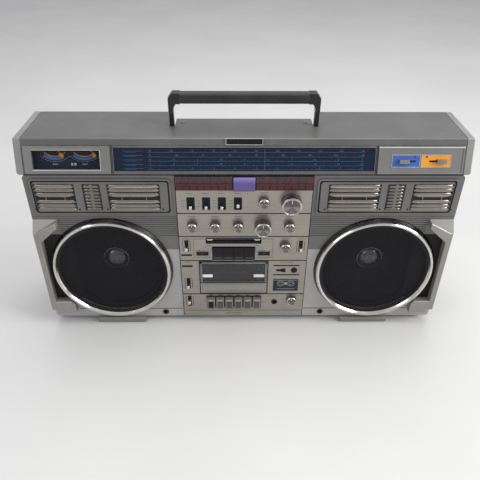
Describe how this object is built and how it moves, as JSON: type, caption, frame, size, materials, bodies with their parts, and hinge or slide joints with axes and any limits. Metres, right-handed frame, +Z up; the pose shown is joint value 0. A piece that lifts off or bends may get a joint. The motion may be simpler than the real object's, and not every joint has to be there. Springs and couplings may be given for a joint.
{
  "type": "boombox",
  "caption": "Large portable stereo radio cassette recorder with two loudspeakers in chrome rings, sloping dial band, central control panel, folding handle and corner guards.",
  "frame": {"origin": "centre of the bounding box at floor level, under the feet", "axes": "+X to the right of someone facing the front, +Y from the front to the back, +Z up"},
  "size_m": [0.778, 0.171, 0.4585],
  "materials": {
    "casing": "metallic grey paint, satin",
    "silver_trim": "silver paint worn at the edges",
    "foot_plastic": "moulded grey",
    "ring_chrome": "bright, lightly brushed",
    "grille_mesh": "black woven mesh",
    "driver": "black paper cone and steel basket",
    "horn_metal": "champagne satin louvres",
    "fascia_metal": "brushed champagne aluminium",
    "display_red": "dark red windows",
    "dial_glass": "smoked blue",
    "dial_scale": "printed black scale",
    "board": "phenolic board",
    "transformer": "varnished laminations",
    "deck_black": "black moulding",
    "socket_black": "black with steel contacts",
    "screw_steel": "zinc plated",
    "handle_black": "black with bare edges",
    "grip_grey": "ribbed dark grey",
    "door_silver": "brushed",
    "smoked_pane": "smoked clear",
    "pointer_white": "white",
    "needle_orange": "orange",
    "aerial_chrome": "plated",
    "door_grey": "satin grey",
    "knob_metal": "turned, bright rim",
    "lever_metal": "polished",
    "switch_chrome": "polished",
    "key_black": "satin black",
    "key_silver": "satin champagne"
  },
  "bodies": {
    "cabinet": {"rear_cabinet": "casing", "front_baffle": "casing", "top_housing": "casing", "end_caps": "silver_trim", "speaker_guards": "silver_trim", "feet": "foot_plastic", "speaker_rings": "ring_chrome", "speaker_grilles": "grille_mesh", "speaker_drivers": "driver", "horn_panels": "horn_metal", "control_fascia": "fascia_metal", "display_strip": "display_red", "dial_glass": "dial_glass", "dial_back_plate": "dial_scale", "circuit_board": "board", "power_transformer": "transformer", "tape_transports": "deck_black", "jack_sockets": "socket_black", "screws": "screw_steel"},
    "handle": {"handle_frame": "handle_black", "handle_grip": "grip_grey"},
    "cassette_door": {"cassette_door": "door_silver", "cassette_window": "smoked_pane"},
    "antenna_mast_right": {"antenna_mast_right": "aerial_chrome"},
    "antenna_rod_right": {"antenna_rod_right": "aerial_chrome"},
    "antenna_mast_left": {"antenna_mast_left": "aerial_chrome"},
    "antenna_rod_left": {"antenna_rod_left": "aerial_chrome"},
    "battery_door": {"battery_door": "door_grey"},
    "tuning_knob": {"tuning_knob": "knob_metal"},
    "dial_pointer": {"dial_pointer": "pointer_white"},
    "meter_needle_left": {"meter_needle_left": "needle_orange"},
    "meter_needle_right": {"meter_needle_right": "needle_orange"},
    "player_eject_key": {"player_eject_key": "key_black"},
    "player_rewind_key": {"player_rewind_key": "key_black"},
    "player_forward_key": {"player_forward_key": "key_black"},
    "player_play_key": {"player_play_key": "key_black"},
    "record_key": {"record_key": "key_silver"},
    "play_key": {"play_key": "key_silver"},
    "rewind_key": {"rewind_key": "key_silver"},
    "forward_key": {"forward_key": "key_silver"},
    "stop_key": {"stop_key": "key_silver"},
    "pause_key": {"pause_key": "key_silver"},
    "input_switch": {"input_switch": "switch_chrome"},
    "output_switch": {"output_switch": "switch_chrome"},
    "function_lever": {"function_lever": "lever_metal"},
    "mode_lever": {"mode_lever": "lever_metal"},
    "loudness_lever": {"loudness_lever": "lever_metal"},
    "noise_lever": {"noise_lever": "lever_metal"},
    "player_lever": {"player_lever": "lever_metal"},
    "dubbing_lever": {"dubbing_lever": "lever_metal"},
    "tape_lever": {"tape_lever": "lever_metal"},
    "speed_lever": {"speed_lever": "lever_metal"},
    "band_knob": {"band_knob": "knob_metal"},
    "bass_knob": {"bass_knob": "knob_metal"},
    "treble_knob": {"treble_knob": "knob_metal"},
    "balance_knob": {"balance_knob": "knob_metal"},
    "volume_knob": {"volume_knob": "knob_metal"},
    "microphone_knob": {"microphone_knob": "knob_metal"},
    "deck_level_knob": {"deck_level_knob": "knob_metal"},
    "echo_knob": {"echo_knob": "knob_metal"}
  },
  "joints": [
    {"name": "handle_fold", "type": "hinge", "parent": "cabinet", "child": "handle", "pos_m": [0, 0.0055, 0.3885], "axis": [-1, 0, 0], "range_deg": [0, 90]},
    {"name": "cassette_door_swing", "type": "hinge", "parent": "cabinet", "child": "cassette_door", "pos_m": [-0.019, -0.0655, 0.07705], "axis": [1, 0, 0], "range_deg": [0, 35]},
    {"name": "antenna_raise_right", "type": "hinge", "parent": "cabinet", "child": "antenna_mast_right", "pos_m": [0.041, 0.0805, 0.36], "axis": [0, -1, 0], "range_deg": [0, 90]},
    {"name": "antenna_raise_left", "type": "hinge", "parent": "cabinet", "child": "antenna_mast_left", "pos_m": [-0.041, 0.0805, 0.36], "axis": [0, 1, 0], "range_deg": [0, 90]},
    {"name": "antenna_extend_right", "type": "slide", "parent": "antenna_mast_right", "child": "antenna_rod_right", "axis": [1, 0, 0], "range_m": [0, 0.24]},
    {"name": "antenna_extend_left", "type": "slide", "parent": "antenna_mast_left", "child": "antenna_rod_left", "axis": [-1, 0, 0], "range_m": [0, 0.24]},
    {"name": "battery_door_pull", "type": "slide", "parent": "cabinet", "child": "battery_door", "axis": [0, 1, 0], "range_m": [0, 0.02]},
    {"name": "tuning_turn", "type": "hinge", "parent": "cabinet", "child": "tuning_knob", "pos_m": [0.0835, -0.0645, 0.284], "axis": [0, 1, 0], "range_deg": [-1250, 900]},
    {"name": "dial_pointer_run", "type": "slide", "parent": "cabinet", "child": "dial_pointer", "axis": [1, 0, 0], "range_m": [-0.235, 0.17]},
    {"name": "meter_needle_left_swing", "type": "hinge", "parent": "cabinet", "child": "meter_needle_left", "pos_m": [-0.3205, -0.04564, 0.37982], "axis": [0, -0.9603, 0.2791], "range_deg": [-79, 11]},
    {"name": "meter_needle_right_swing", "type": "hinge", "parent": "cabinet", "child": "meter_needle_right", "pos_m": [-0.265, -0.04564, 0.37982], "axis": [0, -0.9603, 0.2791], "range_deg": [-79, 11]},
    {"name": "player_eject_key_press", "type": "hinge", "parent": "cabinet", "child": "player_eject_key", "pos_m": [-0.0492, -0.0405, 0.18225], "axis": [1, 0, 0], "range_deg": [0, 6], "stiffness_Nm_per_rad": 0.6},
    {"name": "player_rewind_key_press", "type": "hinge", "parent": "cabinet", "child": "player_rewind_key", "pos_m": [-0.0291, -0.0405, 0.18225], "axis": [1, 0, 0], "range_deg": [0, 6], "stiffness_Nm_per_rad": 0.6},
    {"name": "player_forward_key_press", "type": "hinge", "parent": "cabinet", "child": "player_forward_key", "pos_m": [-0.009, -0.0405, 0.18225], "axis": [1, 0, 0], "range_deg": [0, 6], "stiffness_Nm_per_rad": 0.6},
    {"name": "player_play_key_press", "type": "hinge", "parent": "cabinet", "child": "player_play_key", "pos_m": [0.0111, -0.0405, 0.18225], "axis": [1, 0, 0], "range_deg": [0, 6], "stiffness_Nm_per_rad": 0.6},
    {"name": "record_key_press", "type": "slide", "parent": "cabinet", "child": "record_key", "axis": [0, 1, 0], "range_m": [0, 0.004], "stiffness_N_per_m": 600},
    {"name": "play_key_press", "type": "slide", "parent": "cabinet", "child": "play_key", "axis": [0, 1, 0], "range_m": [0, 0.004], "stiffness_N_per_m": 600},
    {"name": "rewind_key_press", "type": "slide", "parent": "cabinet", "child": "rewind_key", "axis": [0, 1, 0], "range_m": [0, 0.004], "stiffness_N_per_m": 600},
    {"name": "forward_key_press", "type": "slide", "parent": "cabinet", "child": "forward_key", "axis": [0, 1, 0], "range_m": [0, 0.004], "stiffness_N_per_m": 600},
    {"name": "stop_key_press", "type": "slide", "parent": "cabinet", "child": "stop_key", "axis": [0, 1, 0], "range_m": [0, 0.004], "stiffness_N_per_m": 600},
    {"name": "pause_key_press", "type": "slide", "parent": "cabinet", "child": "pause_key", "axis": [0, 1, 0], "range_m": [0, 0.004], "stiffness_N_per_m": 600},
    {"name": "input_switch_slide", "type": "slide", "parent": "cabinet", "child": "input_switch", "axis": [1, 0, 0], "range_m": [0, 0.012]},
    {"name": "output_switch_slide", "type": "slide", "parent": "cabinet", "child": "output_switch", "axis": [1, 0, 0], "range_m": [-0.012, 0]},
    {"name": "function_lever_slide", "type": "slide", "parent": "cabinet", "child": "function_lever", "axis": [0, 0, 1], "range_m": [-0.001, 0.009]},
    {"name": "mode_lever_slide", "type": "slide", "parent": "cabinet", "child": "mode_lever", "axis": [0, 0, 1], "range_m": [-0.001, 0.009]},
    {"name": "loudness_lever_slide", "type": "slide", "parent": "cabinet", "child": "loudness_lever", "axis": [0, 0, 1], "range_m": [-0.001, 0.009]},
    {"name": "noise_lever_slide", "type": "slide", "parent": "cabinet", "child": "noise_lever", "axis": [0, 0, 1], "range_m": [-0.005, 0.005]},
    {"name": "player_lever_slide", "type": "slide", "parent": "cabinet", "child": "player_lever", "axis": [0, 0, 1], "range_m": [-0.002, 0.008]},
    {"name": "dubbing_lever_slide", "type": "slide", "parent": "cabinet", "child": "dubbing_lever", "axis": [0, 0, 1], "range_m": [-0.002, 0.008]},
    {"name": "tape_lever_slide", "type": "slide", "parent": "cabinet", "child": "tape_lever", "axis": [0, 0, 1], "range_m": [-0.002, 0.008]},
    {"name": "speed_lever_slide", "type": "slide", "parent": "cabinet", "child": "speed_lever", "axis": [0, 0, 1], "range_m": [-0.007, 0.003]},
    {"name": "band_knob_turn", "type": "hinge", "parent": "cabinet", "child": "band_knob", "pos_m": [0.035, -0.0645, 0.285], "axis": [0, 1, 0], "range_deg": [-60, 60]},
    {"name": "bass_knob_turn", "type": "hinge", "parent": "cabinet", "child": "bass_knob", "pos_m": [-0.0945, -0.0645, 0.235], "axis": [0, 1, 0], "range_deg": [-150, 150]},
    {"name": "treble_knob_turn", "type": "hinge", "parent": "cabinet", "child": "treble_knob", "pos_m": [-0.0525, -0.0645, 0.235], "axis": [0, 1, 0], "range_deg": [-150, 150]},
    {"name": "balance_knob_turn", "type": "hinge", "parent": "cabinet", "child": "balance_knob", "pos_m": [-0.0105, -0.0645, 0.235], "axis": [0, 1, 0], "range_deg": [-150, 150]},
    {"name": "volume_knob_turn", "type": "hinge", "parent": "cabinet", "child": "volume_knob", "pos_m": [0.0345, -0.0645, 0.234], "axis": [0, 1, 0], "range_deg": [-150, 150]},
    {"name": "microphone_knob_turn", "type": "hinge", "parent": "cabinet", "child": "microphone_knob", "pos_m": [0.083, -0.0645, 0.235], "axis": [0, 1, 0], "range_deg": [-150, 150]},
    {"name": "deck_level_knob_turn", "type": "hinge", "parent": "cabinet", "child": "deck_level_knob", "pos_m": [0.078, -0.0645, 0.1885], "axis": [0, 1, 0], "range_deg": [-150, 150]},
    {"name": "echo_knob_turn", "type": "hinge", "parent": "cabinet", "child": "echo_knob", "pos_m": [0.097, -0.0645, 0.057], "axis": [0, 1, 0], "range_deg": [-150, 150]}
  ],
  "couplings": [
    {"joint": "dial_pointer_run", "follows": "tuning_turn", "m_per_rad": 0.01075}
  ]
}
